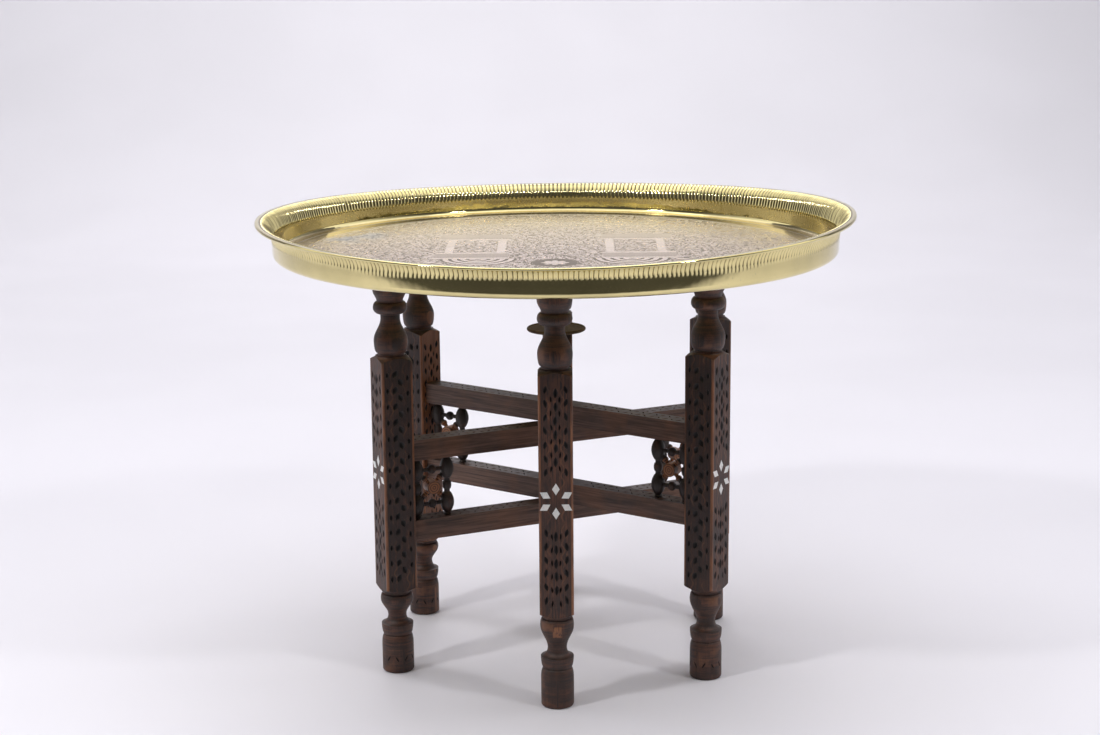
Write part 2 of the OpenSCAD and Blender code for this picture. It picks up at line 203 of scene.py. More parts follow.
class Signal:
    """A socket in a node tree that takes part in Python expressions."""

    def __init__(self, nodes, socket):
        self.nodes = nodes
        self.socket = socket

    def math(self, operation, *values):
        settings = {"operation": operation}
        return self.nodes.node("ShaderNodeMath", settings, dict(enumerate(values)))

    __add__, __radd__ = both_ways("ADD")
    __sub__, __rsub__ = both_ways("SUBTRACT")
    __mul__, __rmul__ = both_ways("MULTIPLY")
    __truediv__, __rtruediv__ = both_ways("DIVIDE")
    __pow__, __rpow__ = both_ways("POWER")
    __mod__, __rmod__ = both_ways("FLOORED_MODULO")
    least, most = both_ways("MINIMUM")[0], both_ways("MAXIMUM")[0]
    above = both_ways("GREATER_THAN")[0]
    __abs__, floor = alone("ABSOLUTE"), alone("FLOOR")
    sine, cosine = alone("SINE"), alone("COSINE")

    def rise(self, low, high):
        """0 below low and 1 above high, smoothly; the other way round if low > high."""
        ends = (low, high, 0.0, 1.0) if low < high else (high, low, 1.0, 0.0)
        names = ("Value", "From Min", "From Max", "To Min", "To Max")
        settings = {"interpolation_type": "SMOOTHSTEP"}
        return self.nodes.node("ShaderNodeMapRange", settings, dict(zip(names, (self, *ends))))

    def within(self, low, high, soft):
        """1 between low and high, with edges that are soft."""
        return self.rise(low - soft, low + soft) * self.rise(high + soft, high - soft)


class NodeMaker:
    """Adds nodes to one tree."""

    def __init__(self, tree):
        self.tree = tree

    def link(self, value, socket):
        if isinstance(value, Signal):
            self.tree.links.new(value.socket, socket)
            return
        if hasattr(socket.default_value, "__len__") and len(value) == 3:
            value = (*value, 1.0)[:len(socket.default_value)]
        socket.default_value = value

    def node(self, kind, settings=None, sockets=None, output=0):
        """A new node: its settings are set first, then its sockets' values or links."""
        made = self.tree.nodes.new(kind)
        for name, value in (settings or {}).items():
            if name == "stops":
                set_stops(made.color_ramp, value)
            else:
                setattr(made, name, value)
        for name, value in (sockets or {}).items():
            self.link(value, made.inputs[name])
        return Signal(self, made.outputs[output])

    def split(self, vector):
        """The three numbers of a vector."""
        parts = self.node("ShaderNodeSeparateXYZ", None, {0: vector}).socket.node.outputs
        return [Signal(self, part) for part in parts]

    def join(self, x, y, z):
        return self.node("ShaderNodeCombineXYZ", None, {0: x, 1: y, 2: z})

    def vector_math(self, operation, first, second, output=0):
        return self.node("ShaderNodeVectorMath", {"operation": operation},
                         {0: first, 1: second}, output)


def set_stops(ramp, stops):
    """Sets a colour ramp to (place, grey level) stops."""
    while len(ramp.elements) < len(stops):
        ramp.elements.new(1.0)
    for element, (place, level) in zip(ramp.elements, stops):
        element.position = place
        element.color = (level, level, level, 1.0)


def shaded(base, amount):
    """The base colour made darker, or lighter if amount is over 1."""
    return [min(1.0, part * amount) for part in base]


class Finish(NodeMaker):
    """Builds one material."""

    def __init__(self, name):
        self.material = bpy.data.materials.new(name)
        self.material.use_nodes = True
        super().__init__(self.material.node_tree)
        self.tree.nodes.clear()

    def place(self):
        """Place on the object, in metres."""
        return self.node("ShaderNodeTexCoord", output="Object")

    def along(self, turn):
        """Place on the object, with X along the direction turn."""
        return self.node("ShaderNodeMapping", {"vector_type": "TEXTURE"},
                         {"Vector": self.place(), "Rotation": (0.0, 0.0, turn)})

    def facing_up(self):
        """How far the surface faces upwards."""
        return self.split(self.node("ShaderNodeNewGeometry", output="Normal"))[2]

    def own(self, name, output="Vector"):
        """A value that the mesh carries."""
        return self.node("ShaderNodeAttribute", {"attribute_name": name}, None, output)

    def noise(self, where, scale, detail=3.0, roughness=0.55, distortion=0.0):
        return self.node("ShaderNodeTexNoise", None, {
            "Vector": where, "Scale": scale, "Detail": detail,
            "Roughness": roughness, "Distortion": distortion,
        })

    def stretched(self, where, scale):
        return self.node("ShaderNodeMapping", None, {"Vector": where, "Scale": scale})

    def mix(self, first, second, amount):
        return self.node("ShaderNodeMix", {"data_type": "RGBA"},
                         {0: amount, 6: first, 7: second}, output=2)

    def coats(self, body, *coats):
        """The body colour with each (shade, amount) laid over it in turn."""
        for shade, amount in coats:
            body = self.mix(body, shade, amount)
        return body

    def bump(self, height, strength, distance, normal=None):
        sockets = {"Height": height, "Strength": strength, "Distance": distance}
        if normal is not None:
            sockets["Normal"] = normal
        return self.node("ShaderNodeBump", None, sockets)

    def surface(self, **sockets):
        """Ends the material in a Principled shader and returns the material."""
        named = {name.replace("_", " "): value for name, value in sockets.items()}
        shader = self.node("ShaderNodeBsdfPrincipled", None, named)
        out = self.tree.nodes.new("ShaderNodeOutputMaterial")
        self.tree.links.new(shader.socket, out.inputs["Surface"])
        return self.material


class Recipe(NodeMaker):
    """Builds one Geometry Nodes tree with named inputs."""

    def __init__(self, name, inputs):
        super().__init__(bpy.data.node_groups.new(name, "GeometryNodeTree"))
        interface = self.tree.interface
        kind = "NodeSocketGeometry"
        interface.new_socket("Geometry", in_out="INPUT", socket_type=kind)
        interface.new_socket("Geometry", in_out="OUTPUT", socket_type=kind)
        self.identifiers = {}
        for label, kind in inputs.items():
            socket = interface.new_socket(label, in_out="INPUT", socket_type=kind)
            self.identifiers[label] = socket.identifier
        self.start = self.tree.nodes.new("NodeGroupInput")

    def given(self, label):
        return Signal(self, self.start.outputs[label])

    def end(self, geometry):
        """Ends the tree in Realize Instances and Set Material."""
        real = self.node("GeometryNodeRealizeInstances", None, {0: geometry})
        done = self.node("GeometryNodeSetMaterial", None,
                         {"Geometry": real, "Material": self.given("Material")})
        out = self.tree.nodes.new("NodeGroupOutput")
        self.tree.links.new(done.socket, out.inputs["Geometry"])

    def use_on(self, target, **values):
        """Adds the tree to target as a modifier with these input values."""
        modifier = target.modifiers.new(self.tree.name, "NODES")
        modifier.node_group = self.tree
        for name, value in values.items():
            modifier[self.identifiers[name.replace("_", " ").capitalize()]] = value


# ---------------- mesh helpers


def new_piece(name, mesh):
    """A new object that holds mesh, in the scene."""
    piece = bpy.data.objects.new(name, mesh)
    bpy.context.scene.collection.objects.link(piece)
    return piece


def mesh_from(name, points, edges=(), faces=()):
    mesh = bpy.data.meshes.new(name)
    mesh.from_pydata([tuple(p) for p in points], list(edges), list(faces))
    mesh.update()
    return mesh


def settle(source, name):
    """Makes the evaluated source a plain mesh, removes source and returns the mesh."""
    bpy.context.view_layer.update()
    graph = bpy.context.evaluated_depsgraph_get()
    mesh = bpy.data.meshes.new_from_object(source.evaluated_get(graph))
    mesh.name = name
    source.modifiers.clear()
    bpy.data.objects.remove(source)
    return mesh


def points_of(mesh):
    points = np.empty(len(mesh.vertices) * 3)
    mesh.vertices.foreach_get("co", points)
    return points.reshape(-1, 3)


def smooth(mesh, sharp_angle):
    mesh.shade_smooth()
    mesh.set_sharp_from_angle(angle=math.radians(sharp_angle))


def mend(mesh, gap, outwards=False):
    """Merges points closer than gap and, if asked, points every face outwards."""
    work = bmesh.new()
    work.from_mesh(mesh)
    bmesh.ops.remove_doubles(work, verts=work.verts, dist=gap)
    if outwards:
        bmesh.ops.dissolve_degenerate(work, edges=work.edges, dist=EMPTY_EDGE)
        bmesh.ops.recalc_face_normals(work, faces=work.faces)
    work.to_mesh(mesh)
    work.free()
    mesh.update()


def merged_copy(node):
    """A copy of a CAD node's mesh with its loose triangles merged."""
    mesh = frame["nodes"][node].data.copy()
    mend(mesh, CAD_MERGE_GAP)
    normals = mesh.attributes.get("custom_normal")
    if normals:
        mesh.attributes.remove(normals)
    mesh.materials.clear()
    return mesh


def carve(mesh, cutters, name):
    """Returns mesh less the cutters as a new mesh."""
    block = new_piece(name + ".block", mesh)
    tool = new_piece(name + ".tool", cutters)
    cut = block.modifiers.new("Carve", "BOOLEAN")
    cut.operation = "DIFFERENCE"
    cut.solver = "MANIFOLD"
    cut.object = tool
    carved = settle(block, name)
    bpy.data.objects.remove(tool)
    return carved


def store(mesh, name, kind, values):
    """Stores one value or vector at each point of the mesh."""
    attribute = mesh.attributes.new(name, kind, "POINT")
    field = "vector" if kind == "FLOAT_VECTOR" else "value"
    attribute.data.foreach_set(field, np.asarray(values, np.float32).ravel())


def give(material, *nodes):
    """Gives a material to CAD nodes."""
    for node in nodes:
        for place in frame["nodes"][node].material_slots:
            place.material = material


def finish_piece(name, mesh, material, node):
    """Puts a finished mesh in the scene in a CAD node's stead."""
    mesh.materials.clear()
    mesh.materials.append(material)
    piece = new_piece(name, mesh)
    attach(piece, BODY_OF[node])
    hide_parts(node)


# ---------------- tray

BAND_STEPS, CORNER_STEPS, ROLL_STEPS, FLUTE_STEPS = 12, 5, 5, 5
FOOT_FADE, RIM_FADE, RIM_PLAIN = 0.22, 0.25, 0.04  # where flutes fade, in parts of the bend
HATCH_ACROSS, HATCH_UP, ARCH_WAVES = 1700.0, 900.0, 620.0  # radians a metre
TARNISH_X, TARNISH_Y = -0.262, 0.118
STAR_Y, STAR_RING = -100 * MM, 27 * MM


class TrayPlan:
    """Places on the tray, worked out from its CAD box."""

    def __init__(self, settings):
        low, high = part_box("tray")
        self.radius = high.x
        self.base = low.z
        self.depth = high.z - low.z
        self.wall_top = self.radius - settings.rim_flat - settings.flare
        self.floor_radius = self.wall_top - settings.lean - settings.corner
        self.band_height = self.depth - settings.sheet - settings.flute_foot


def arc_points(centre, wide, high, start, stop, steps):
    """Points (across, up) on part of an oval, with the cosine and sine of each."""
    turned = [math.radians(start + (stop - start) * i / steps) for i in range(steps + 1)]
    return [(centre[0] + wide * math.cos(a), centre[1] + high * math.sin(a),
             math.cos(a), math.sin(a)) for a in turned]


def tray_profile(settings, plan):
    """Rows of (across, up, push across, push up) from the middle of the underside,
    over the rim, to the middle of the floor. Push is the way the flutes stand out."""
    sheet, foot, edge = settings.sheet, settings.flute_foot, settings.rolled_edge

    def plain(points):
        return [(across, up, 0.0, 0.0) for across, up, *_ in points]

    def band(inwards, start, stop):
        """The fluted band, which bends from upright to level and fades at both ends."""
        centre = (plan.wall_top + settings.flare, foot)
        wide, high = settings.flare + inwards, plan.band_height + inwards
        rows = []
        for across, up, c, s in arc_points(centre, wide, high, start, stop, BAND_STEPS):
            push = min(1.0, s / FOOT_FADE, max(0.0, -c - RIM_PLAIN) / RIM_FADE)
            rows.append((across, up, -c * push, -s * push))
        return rows

    def corner(inwards, start, stop):
        centre = (plan.floor_radius, settings.corner)
        radius = settings.corner - inwards
        return plain(arc_points(centre, radius, radius, start, stop, CORNER_STEPS))

    def wall(inwards):
        """A row just below the band, which keeps the plain wall straight."""
        return plain([(plan.wall_top - inwards - 0.1 * settings.lean, foot - 2 * MM)])

    roll_centre = (plan.radius - edge, plan.depth - edge)
    roll = [(plan.radius - 2 * edge, plan.depth - sheet)]
    roll += arc_points(roll_centre, edge, edge, -90, 90, ROLL_STEPS)
    return (plain([(0.0, 0.0)]) + corner(0.0, -90, 0) + wall(0.0) + band(0.0, 180, 90)
            + plain(roll) + band(sheet, 90, 180) + wall(sheet) + corner(sheet, 0, -90)
            + plain([(0.0, sheet)]))


def fluted_revolve():
    """Tree that turns a profile about Z and strikes flutes into it."""
    whole, size = "NodeSocketInt", "NodeSocketFloat"
    recipe = Recipe("Fluted revolve", {
        "Flutes": whole, "Steps": whole, "Depth": size, "Wander": size,
        "Base": size, "Height": size, "Lift": size, "Tilt": size, "Sag": size,
        "Seed": whole, "Material": "NodeSocketMaterial",
    })
    given = recipe.given
    profile, flutes, steps = given("Geometry"), given("Flutes"), given("Steps")
    rows = recipe.node("GeometryNodeAttributeDomainSize", None, {"Geometry": profile})
    columns = flutes * steps
    grid = recipe.node("GeometryNodeMeshGrid", None, {
        "Vertices X": columns + 1, "Vertices Y": rows,
    })
    index = recipe.node("GeometryNodeInputIndex")
    row, column = index % rows, (index / rows).floor()

    def sample(value):
        settings = {"data_type": "FLOAT_VECTOR", "domain": "POINT"}
        return recipe.split(recipe.node("GeometryNodeSampleIndex", settings, {
            "Geometry": profile, "Value": value, "Index": row,
        }))

    across, _, up = sample(recipe.node("GeometryNodeInputPosition"))
    push_across, _, push_up = sample(recipe.node(
        "GeometryNodeInputNamedAttribute", {"data_type": "FLOAT_VECTOR"}, {"Name": "push"}))

    flute = (column / steps).floor()
    along = column / steps - flute

    def wander(which):
        return recipe.node("FunctionNodeRandomValue", {"data_type": "FLOAT"}, {
            2: -0.5, 3: 0.5, "ID": which % flutes, "Seed": given("Seed"),
        }, output=1)

    here, after = wander(flute), wander(flute + 1)
    shift = (here + (after - here) * along) * given("Wander")
    turn = (flute + along + shift) / flutes * FULL_TURN
    bulge = 2 * along - 1
    groove = bulge * bulge * bulge * bulge
    rib = (0.25 - groove) * given("Depth")
    height = (up / given("Height")).most(0.0)
    bend = (given("Lift") + given("Tilt") * turn.cosine()
            + given("Sag") * (2 * turn).cosine()) * height * height
    reach = across + rib * push_across
    where = recipe.join(reach * turn.cosine(), reach * turn.sine(),
                        up + rib * push_up + bend + given("Base"))
    placed = recipe.node("GeometryNodeSetPosition", None,
                         {"Geometry": grid, "Position": where})
    struck = groove * span(push_across, push_up)
    marked = recipe.node(
        "GeometryNodeStoreNamedAttribute", {"data_type": "FLOAT", "domain": "POINT"},
        {"Geometry": placed, "Name": "groove", "Value": struck})
    closed = recipe.node("GeometryNodeMergeByDistance", None,
                         {"Geometry": marked, "Distance": 1e-5})
    recipe.end(closed)
    return recipe


def floor_chasing(finish, place, settings, plan):
    """Depth of the chased lines on the floor, from 0 to 1, and where the chasing is."""
    x, y, _ = finish.split(place)
    radius, side = span(x, y), abs(x)
    field_radius = plan.floor_radius - settings.border
    field = radius.rise(field_radius, field_radius - 2 * MM)

    # rings that frame the field
    rings = 0.0
    for ring in (field_radius, field_radius + 5 * MM, plan.floor_radius - 8 * MM):
        rings = abs(radius - ring).rise(1.3 * MM, 0.4 * MM).most(rings)

    # scrolls that fill the ground
    swirled = finish.node("ShaderNodeTexNoise", None,
                          {"Vector": place, "Scale": 60.0, "Detail": 1.0}, output="Color")
    drawn = finish.vector_math("MULTIPLY", swirled, (0.022, 0.022, 0.0))
    drawn = finish.vector_math("ADD", drawn, place)
    curls = (finish.noise(drawn, 120.0, 1.0) * 44.0).sine().rise(0.25, 0.75)
    edges = finish.node("ShaderNodeTexVoronoi",
                        {"voronoi_dimensions": "2D", "feature": "DISTANCE_TO_EDGE"},
                        {"Vector": drawn, "Scale": 85.0}).rise(0.09, 0.04)
    ground = curls.most(edges)

    # plain posts and beams, and the panels between them
    between = side.within(55 * MM, 140 * MM, MM)
    tall = y.within(-22 * MM, 79 * MM, MM)
    posts = 0.0
    for post in (64 * MM, 125 * MM):
        posts = (abs(side - post).rise(5.4 * MM, 4.2 * MM) * tall).most(posts)
    for low, high in ((73, 80), (-29, -23), (-68, -62)):
        posts = (y.within(low * MM, high * MM, MM) * between).most(posts)
    hatch = ((side * HATCH_ACROSS).sine() * (y * HATCH_UP).sine()).rise(-0.25, 0.35)
    panels = (y.within(-62 * MM, -30 * MM, MM) * between).most(
        y.within(83 * MM, 118 * MM, MM) * between)
    arch_radius = span(side - 88 * MM, y + 70 * MM)
    arch_zone = arch_radius.rise(46 * MM, 44 * MM) * y.rise(-69 * MM, -71 * MM)
    arches = (arch_radius * ARCH_WAVES).sine().rise(-0.1, 0.5)

    # eight-pointed star on a dark round
    star_y = y - STAR_Y
    star_radius = span(x, star_y)
    spikes = abs((star_y.math("ARCTAN2", star_y, x) * 4.0).cosine()) * 7 * MM + 9 * MM
    round_zone = star_radius.rise(STAR_RING, STAR_RING - 2 * MM)
    star = (spikes - star_radius).rise(-0.5 * MM, 0.5 * MM)

    lines = ground * (1 - panels) + panels * (0.35 + 0.65 * hatch)
    lines = lines * (1 - arch_zone) + arch_zone * arches
    lines = lines * (1 - round_zone) + round_zone * (1 - star)
    frames = abs(star_radius - STAR_RING).rise(1.4 * MM, 0.5 * MM)
    lines = (lines * (1 - posts)).most(frames)
    return (lines * field).most(rings * radius.rise(plan.floor_radius, plan.floor_radius - MM))


def tray_brass(settings, plan):
    """Old polished brass with a chased floor, fine scratches, some tarnish and a line of
    painted shade inside the rim.
    """
    finish = Finish("Tray brass")
    place = finish.place()
    x, y, z = finish.split(place)
    on_floor = (z.rise(plan.base + 3 * MM, plan.base + 2 * MM)
                * finish.facing_up().rise(0.2, 0.6))
    chased = floor_chasing(finish, place, settings, plan) * on_floor

    cloud = finish.noise(place, 11.0, 4.0)
    speck = finish.noise(place, 420.0, 2.0).rise(0.66, 0.74)
    rub = finish.noise(finish.stretched(place, (1.0, 1.0, 0.2)), 160.0, 3.0)
    patch_x, patch_y = x - TARNISH_X, y - TARNISH_Y
    patch = (patch_x * patch_x * 1.6 + patch_y * patch_y) ** 0.5
    tarnish = patch.rise(0.085, 0.02) * cloud.rise(0.42, 0.60) * on_floor
    tarnish = tarnish.most(speck * 0.35)
    near = y.rise(0.26, -0.12)
    groove = finish.own("groove", "Fac").rise(0.30, 0.95)
    uneven = finish.noise(place, 55.0, 2.0).rise(0.38, 0.62)
    # painted shade: a dark line just inside the flat rim, where the mesh has no groove to cast
    # it
    rim_shade_line = abs(span(x, y) - (plan.radius - settings.rim_flat - 1.4 * MM)).rise(
        1.7 * MM, 0.6 * MM) * z.rise(plan.base + 0.7 * plan.depth, plan.base + 0.8 * plan.depth)
    dirt_and_rim_shade = (groove * (0.35 + 0.65 * uneven)).most(rim_shade_line * 0.85)
    shade = finish.coats(
        settings.brass,
        (shaded(settings.brass, 0.80), cloud.rise(0.35, 0.75)),
        (settings.silver, on_floor * (0.42 + 0.50 * near)),
        (settings.grime_and_rim_shade, chased * (0.52 + 0.40 * near)),
        (settings.tarnish, tarnish * 0.85),
        # grime in the flute grooves, and the painted shade line inside the rim
        (settings.grime_and_rim_shade, dirt_and_rim_shade * 0.92),
    )

    rough = (0.05 + 0.07 * cloud + 0.13 * on_floor + 0.30 * chased + 0.3 * tarnish
             + 0.15 * dirt_and_rim_shade)
    knocks = finish.noise(place, 34.0, 2.0)
    dents = finish.bump(cloud + 0.3 * knocks, 0.40, 2.6 * MM)
    marks = finish.bump(rub, 0.10, 0.15 * MM, dents)
    lines = finish.bump(1 - chased, 0.55, 0.35 * MM, marks)
    return finish.surface(Base_Color=shade, Metallic=1.0, Roughness=rough, Normal=lines)


def make_tray(settings):
    """Builds the tray as one closed sheet with its flutes and its bent rim."""
    plan = TrayPlan(settings)
    rows = tray_profile(settings, plan)
    edges = [(i, i + 1) for i in range(len(rows) - 1)]
    line = mesh_from("tray_profile", [(r[0], 0.0, r[1]) for r in rows], edges)
    store(line, "push", "FLOAT_VECTOR", [(r[2], 0.0, r[3]) for r in rows])
    material = tray_brass(settings, plan)
    sheet = new_piece("tray_profile", line)
    fluted_revolve().use_on(
        sheet, flutes=settings.flutes, steps=FLUTE_STEPS, depth=settings.flute_depth,
        wander=settings.flute_wander, base=plan.base, height=plan.depth,
        lift=settings.rim_lift, tilt=settings.rim_tilt, sag=settings.rim_sag,
        seed=7, material=material,
    )
    mesh = settle(sheet, "fluted_tray")
    mend(mesh, MERGE_GAP, outwards=True)
    smooth(mesh, 50)
    finish_piece("fluted_tray", mesh, material, "tray")


# ---------------- carving

LEG_HALF = 19 * MM  # half the width of a leg's square part
DRUM_RADIUS, DRUM_LOW, DRUM_HIGH = 18.5 * MM, 4 * MM, 32 * MM
NOTCH_DEPTH, NOTCH_HEIGHT, NOTCHES = 1.2 * MM, 18 * MM, 11
RIDGE_AT, RIDGE_SWAY, BORDER_LINE = 7.6 * MM, 1.6 * MM, 15.4 * MM  # from a face's middle
SMOOTH_BELOW = 28  # degrees; sharper edges of carved wood stay sharp

# length and width of each kind of cut
EDGE_PIT = (11 * MM, 5.2 * MM)
MIDDLE_PIT = (13 * MM, 5.6 * MM)
SMALL_PIT = (8.5 * MM, 2.7 * MM)
ZIGZAG_PIT = (10.5 * MM, 7.4 * MM)
BORDER_PIT = (8 * MM, 4.2 * MM)
NOTCH = (10 * MM, 2.2 * MM)
RAIL_PIT = (7.5 * MM, 2.8 * MM)


def pit_shape():
    """The chip that one cut of the gouge takes out: a pointed oval 1 long and 1 wide
    with a keel 1 deep, in the plane of Y and Z, with X standing out of the face."""
    above = 0.4
    side = [(0.0, -0.5), (0.36, -0.25), (0.5, 0.0), (0.36, 0.25)]
    outline = side + [(-y, -z) for y, z in side]
    count = len(outline)
    keel = [(-0.8, 0.0, -0.22), (-1.0, 0.0, 0.0), (-0.8, 0.0, 0.22)]
    points = [(above, y, z) for y, z in outline] + [(0.0, y, z) for y, z in outline] + keel
    faces = [tuple(range(count))]
    faces += [(i, (i + 1) % count, count + (i + 1) % count, count + i) for i in range(count)]
    low, middle, high = (2 * count + i for i in range(3))
    right = [count + i for i in range(5)]
    left = [count] + [count + i for i in (7, 6, 5, 4)]
    for s in (right, left):
        faces += [(s[0], s[1], low), (s[1], s[2], middle, low),
                  (s[2], s[3], high, middle), (s[3], s[4], high)]
    mesh = mesh_from("pit", points, faces=faces)
    mend(mesh, MERGE_GAP, outwards=True)
    return mesh


def pit_rows():
    """Tree that adds one upright row of pits to what is there."""
    size = "NodeSocketFloat"
    recipe = Recipe("Row of pits", {
        "Pit": "NodeSocketObject", "Count": "NodeSocketInt", "First": size,
        "Pitch": size, "Face": size, "Across": size, "Swing": size, "Tilt": size,
        "Long": size, "Wide": size, "Deep": size, "Turn": size,
        "Wander": size, "Seed": "NodeSocketInt", "Material": "NodeSocketMaterial",
    })
    given = recipe.given
    line = recipe.node("GeometryNodeMeshLine", None, {
        "Count": given("Count"),
        "Start Location": recipe.join(given("Face"), given("Across"), given("First")),
        "Offset": recipe.join(0.0, 0.0, given("Pitch")),
    })
    sway = 2 * (recipe.node("GeometryNodeInputIndex") % 2) - 1

    def wander(seed_step):
        return recipe.node("FunctionNodeRandomValue", {"data_type": "FLOAT"}, {
            2: -1.0, 3: 1.0, "Seed": given("Seed") + seed_step,
        }, output=1) * given("Wander")

    swung = recipe.node("GeometryNodeSetPosition", None, {
        "Geometry": line,
        "Offset": recipe.join(0.0, sway * given("Swing") + 0.8 * MM * wander(1),
                              1.2 * MM * wander(2)),
    })
    chip = recipe.node("GeometryNodeObjectInfo", None, {"Object": given("Pit")},
                       output="Geometry")
    turned = recipe.join(sway * given("Tilt") + 0.15 * wander(3), 0.0, 0.0)
    chips = recipe.node("GeometryNodeInstanceOnPoints", None, {
        "Points": swung, "Instance": chip,
        "Rotation": recipe.node("FunctionNodeEulerToRotation", None, {0: turned}),
        "Scale": recipe.join(given("Deep"), given("Wide"),
                             given("Long") * (1 + 0.12 * wander(4))),
    })
    facing = recipe.node("GeometryNodeTransform", None, {
        "Geometry": chips, "Rotation": recipe.join(0.0, 0.0, given("Turn")),
    })
    both = recipe.tree.nodes.new("GeometryNodeJoinGeometry")
    recipe.tree.links.new(facing.socket, both.inputs[0])
    recipe.tree.links.new(recipe.start.outputs["Geometry"], both.inputs[0])
    recipe.end(Signal(recipe, both.outputs[0]))
    return recipe


class LegPlan:
    """Places on one leg, worked out from its CAD node."""

    def __init__(self, name, mesh):
        low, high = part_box("leg_" + name)
        self.middle = (low + high) / 2
        self.turn = math.atan2(self.middle.y, self.middle.x)
        local = self.local_points(points_of(mesh))
        reach = np.hypot(local[:, 0], local[:, 1])
        corners = local[reach > 1.25 * LEG_HALF, 2]  # only the square part reaches so far
        self.square_low, self.square_high = corners.min(), corners.max()

    def local_points(self, points):
        """Points in the leg's own frame: X outwards, Y across, Z up."""
        c, s = math.cos(self.turn), math.sin(self.turn)
        moved = points - np.array([self.middle.x, self.middle.y, 0.0])
        return np.column_stack([moved[:, 0] * c + moved[:, 1] * s,
                                moved[:, 1] * c - moved[:, 0] * s, moved[:, 2]])

    def matrix(self):
        """From the leg's own frame to the stand's."""
        turned = Matrix.Rotation(self.turn, 4, "Z")
        return Matrix.Translation((self.middle.x, self.middle.y, 0.0)) @ turned


def row_values(start, stop, pitch, across, cut, **more):
    """Input values of one row of cuts between two heights."""
    long, wide = cut
    count = max(1, int((stop - start - long) / pitch) + 1)
    slack = (stop - start - (count - 1) * pitch) / 2
    return {"first": start + slack, "count": count, "pitch": pitch, "across": across,
            "long": long, "wide": wide, "swing": 0.0, "tilt": 0.0, **more}


def leaning_pair(start, stop, pitch, across, cut, tilt):
    """Input values of two rows that mirror each other."""
    return [row_values(start, stop, pitch, side * across, cut, tilt=-side * tilt)
            for side in (-1, 1)]


def leg_rows(plan, wood, star_height):
    """Rows of pits on the four faces of a leg's square part."""
    low, high = plan.square_low + wood.edge_margin, plan.square_high - wood.edge_margin
    pitch = wood.pit_pitch
    close, far = pitch * 0.6, pitch * 1.2
    below, above = star_height - wood.star_margin, star_height + wood.star_margin
    rows = []
    for face in range(4):
        for start, stop in ((low, below), (above, high)) if face == 0 else ((low, high),):
            if face % 2 == 0:
                parts = leaning_pair(start, stop, pitch, 11.2 * MM, EDGE_PIT, 0.22)
                parts.append(row_values(start + pitch / 2, stop, pitch, 0.0, MIDDLE_PIT))
                parts += leaning_pair(start, stop - pitch / 2, pitch, 4.6 * MM, SMALL_PIT, 0.12)
            else:
                parts = [
                    row_values(start, stop, close, 0.0, ZIGZAG_PIT, swing=3.4 * MM, tilt=0.45),
                    row_values(start, stop, far, -12.2 * MM, BORDER_PIT),
                    row_values(start + close, stop, far, 12.2 * MM, BORDER_PIT),
                ]
            rows += [{**part, "turn": face * math.pi / 2} for part in parts]
    return rows


def drum_notches():
    """Upright notches round the drum of a foot, leaning to and fro."""
    low, high = NOTCH_HEIGHT - 6 * MM, NOTCH_HEIGHT + 6 * MM
    return [row_values(low, high, 0.02, 0.0, NOTCH, turn=FULL_TURN * i / NOTCHES,
                       face=DRUM_RADIUS, deep=NOTCH_DEPTH, tilt=0.5 if i % 2 else -0.5)
            for i in range(NOTCHES)]


def chip_cutters(name, rows, recipe, pit, face, deep, seed, material):
    """All the chips of one piece as one mesh in the piece's own frame."""
    holder = new_piece(name, mesh_from(name, []))
    for place, values in enumerate(rows):
        recipe.use_on(holder, pit=pit, material=material, seed=seed + 10 * place,
                      **{"face": face, "deep": deep, "turn": 0.0, "wander": 0.5, **values})
    return settle(holder, name)


def carved_leg_mesh(name, wood, recipe, pit, seed, material):
    """The leg with its pits, and what its material reads."""
    mesh = merged_copy("leg_" + name)
    plan = LegPlan(name, mesh)
    star_low, star_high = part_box("star_" + name)
    star_height = (star_low.z + star_high.z) / 2
    rows = leg_rows(plan, wood, star_height)
    if name != "front":
        rows += drum_notches()
    cutters = chip_cutters(name + ".chips", rows, recipe, pit, LEG_HALF,
                           wood.pit_depth, seed, material)
    cutters.transform(plan.matrix())
    carved = carve(mesh, cutters, "carved_leg_" + name)
    local = plan.local_points(points_of(carved))
    store(carved, "place", "FLOAT_VECTOR", local)
    side, height = np.maximum(abs(local[:, 0]), abs(local[:, 1])), local[:, 2]
    inside = (height > plan.square_low + 2 * MM) & (height < plan.square_high - 2 * MM)
    sunk = np.where(inside, (LEG_HALF - side) / wood.pit_depth, 0.0)
    reach = np.hypot(local[:, 0], local[:, 1])
    drum = (height > DRUM_LOW) & (height < DRUM_HIGH)
    sunk = np.where(drum, (DRUM_RADIUS - 0.1 * MM - reach) / NOTCH_DEPTH, sunk)
    # how deep each point lies in a pit or notch; the material paints shade from this
    store(carved, "sunk", "FLOAT", np.clip(sunk, 0, 1))
    smooth(carved, SMOOTH_BELOW)
    return carved


